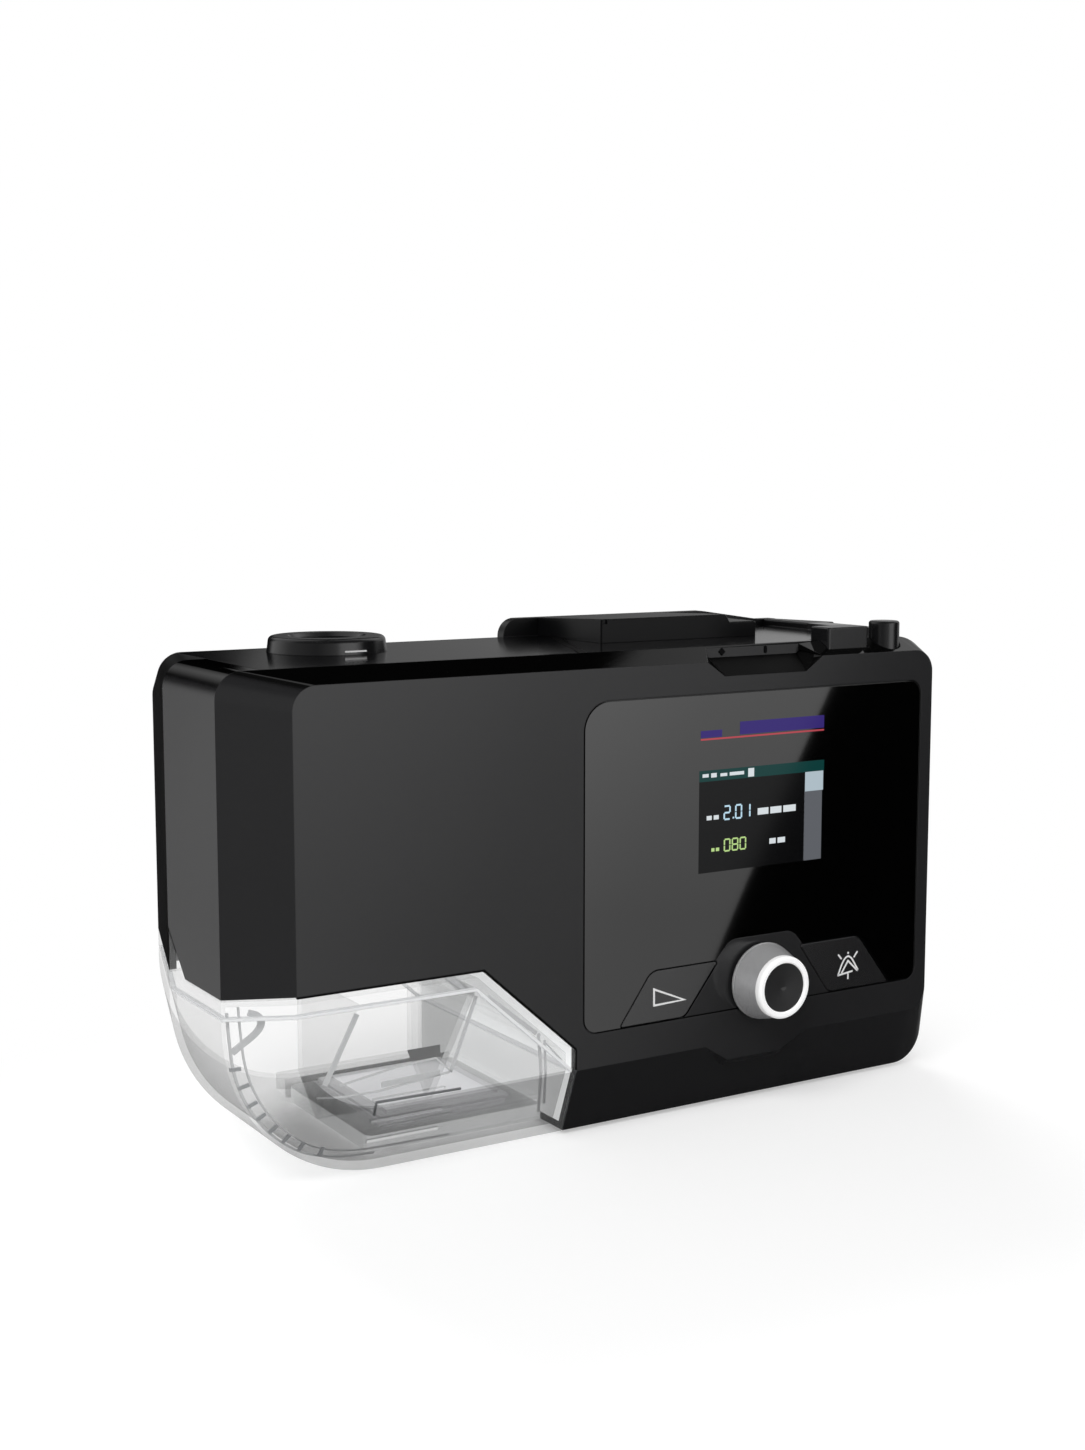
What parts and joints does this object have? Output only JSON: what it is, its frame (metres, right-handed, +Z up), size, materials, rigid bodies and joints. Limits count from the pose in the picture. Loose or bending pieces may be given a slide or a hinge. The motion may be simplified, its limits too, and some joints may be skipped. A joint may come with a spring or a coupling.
{
  "type": "cpap machine",
  "caption": "Bedside breathing air machine with a slide-out heated water tank, screen, keys, press-and-turn knob and hose outlet.",
  "frame": {"origin": "on the table under the middle of the machine's outline, the knob included", "axes": "+X to the right along the front, +Y to the back, +Z up"},
  "size_m": [0.265, 0.1166, 0.1614],
  "materials": {
    "shell_charcoal": "satin moulded charcoal plastic with a fine even grain",
    "base_black": "matt black moulded plastic",
    "gloss_black": "polished black plastic",
    "panel_glass": "gloss black hard-coated panel",
    "key_black": "gloss black keys",
    "screen": "dark colour display",
    "tank_clear": "clear water-white plastic",
    "seal_grey": "soft grey silicone",
    "foot_rubber": "black rubber",
    "knob_metal": "satin chrome with a bright ring",
    "knob_black": "black polished cap",
    "steel": "bright steel",
    "heater_alloy": "fine-ground aluminium",
    "duct_plastic": "light grey moulded plastic",
    "motor_metal": "zinc-coated steel can",
    "board_green": "green circuit board with dark parts",
    "foam_grey": "open grey foam",
    "filter_white": "white pleated fibre",
    "window_pale": "pale light window"
  },
  "bodies": {
    "root": {"front_shell": "shell_charcoal", "rear_cover": "shell_charcoal", "base_plate": "base_black", "rubber_feet": "foot_rubber", "base_screws": "steel", "bay_liner": "duct_plastic", "heater_base": "duct_plastic", "heater_plate": "heater_alloy", "heater_springs": "steel", "inlet_seal": "seal_grey", "outlet_seal": "seal_grey", "outlet_duct": "duct_plastic", "outlet_collar": "gloss_black", "top_plate_left": "gloss_black", "top_plate_right": "gloss_black", "module_cover": "gloss_black", "front_glass": "panel_glass", "display": "screen", "panel_board": "board_green", "encoder_body": "base_black", "top_board": "board_green", "light_window": "window_pale", "blower_front": "duct_plastic", "blower_rear": "duct_plastic", "motor": "motor_metal", "blower_mounts": "foot_rubber", "air_duct": "duct_plastic", "inlet_housing": "base_black", "inlet_foam": "foam_grey", "air_filter": "filter_white", "power_inlet": "base_black", "main_board": "board_green", "board_screws": "steel"},
    "tank": {"tank_shell": "tank_clear", "tank_lid": "tank_clear", "tank_gasket": "seal_grey", "tank_plate": "steel", "tank_baffle": "tank_clear"},
    "knob_plunger": {"encoder_plunger": "steel"},
    "knob": {"knob_body": "knob_metal", "knob_ring": "knob_metal", "knob_cap": "knob_black", "encoder_shaft": "steel"},
    "ramp_key": {"ramp_button": "key_black"},
    "mute_key": {"mute_button": "key_black"},
    "box_key": {"box_button": "key_black"},
    "round_key": {"round_button": "key_black"},
    "fan": {"impeller": "duct_plastic", "motor_shaft": "steel"},
    "filter_door": {"filter_cover": "base_black"}
  },
  "joints": [
    {"name": "tank_slide", "type": "slide", "parent": "root", "child": "tank", "axis": [-1, 0, 0], "range_m": [0, 0.125]},
    {"name": "knob_press", "type": "slide", "parent": "root", "child": "knob_plunger", "axis": [0, 1, 0], "range_m": [0, 0.0005], "stiffness_N_per_m": 3000, "springref_m": -0.0005},
    {"name": "knob_turn", "type": "hinge", "parent": "knob_plunger", "child": "knob", "pos_m": [0.05399, -0.0457, 0.0427], "axis": [0, 1, 0], "continuous": true},
    {"name": "ramp_press", "type": "slide", "parent": "root", "child": "ramp_key", "axis": [0, 1, 0], "range_m": [0, 0.0005], "stiffness_N_per_m": 2000, "springref_m": -0.0004},
    {"name": "mute_press", "type": "slide", "parent": "root", "child": "mute_key", "axis": [0, 1, 0], "range_m": [0, 0.0005], "stiffness_N_per_m": 2000, "springref_m": -0.0004},
    {"name": "box_press", "type": "slide", "parent": "root", "child": "box_key", "axis": [0, 0, -1], "range_m": [0, 0.0008], "stiffness_N_per_m": 1500, "springref_m": -0.0006},
    {"name": "round_press", "type": "slide", "parent": "root", "child": "round_key", "axis": [0, 0, -1], "range_m": [0, 0.0008], "stiffness_N_per_m": 1500, "springref_m": -0.0006},
    {"name": "fan_spin", "type": "hinge", "parent": "root", "child": "fan", "pos_m": [0.062, 0.0123, 0.0707], "axis": [0, 1, 0], "continuous": true},
    {"name": "filter_door_pull", "type": "slide", "parent": "root", "child": "filter_door", "axis": [0, 1, 0], "range_m": [0, 0.015]}
  ]
}
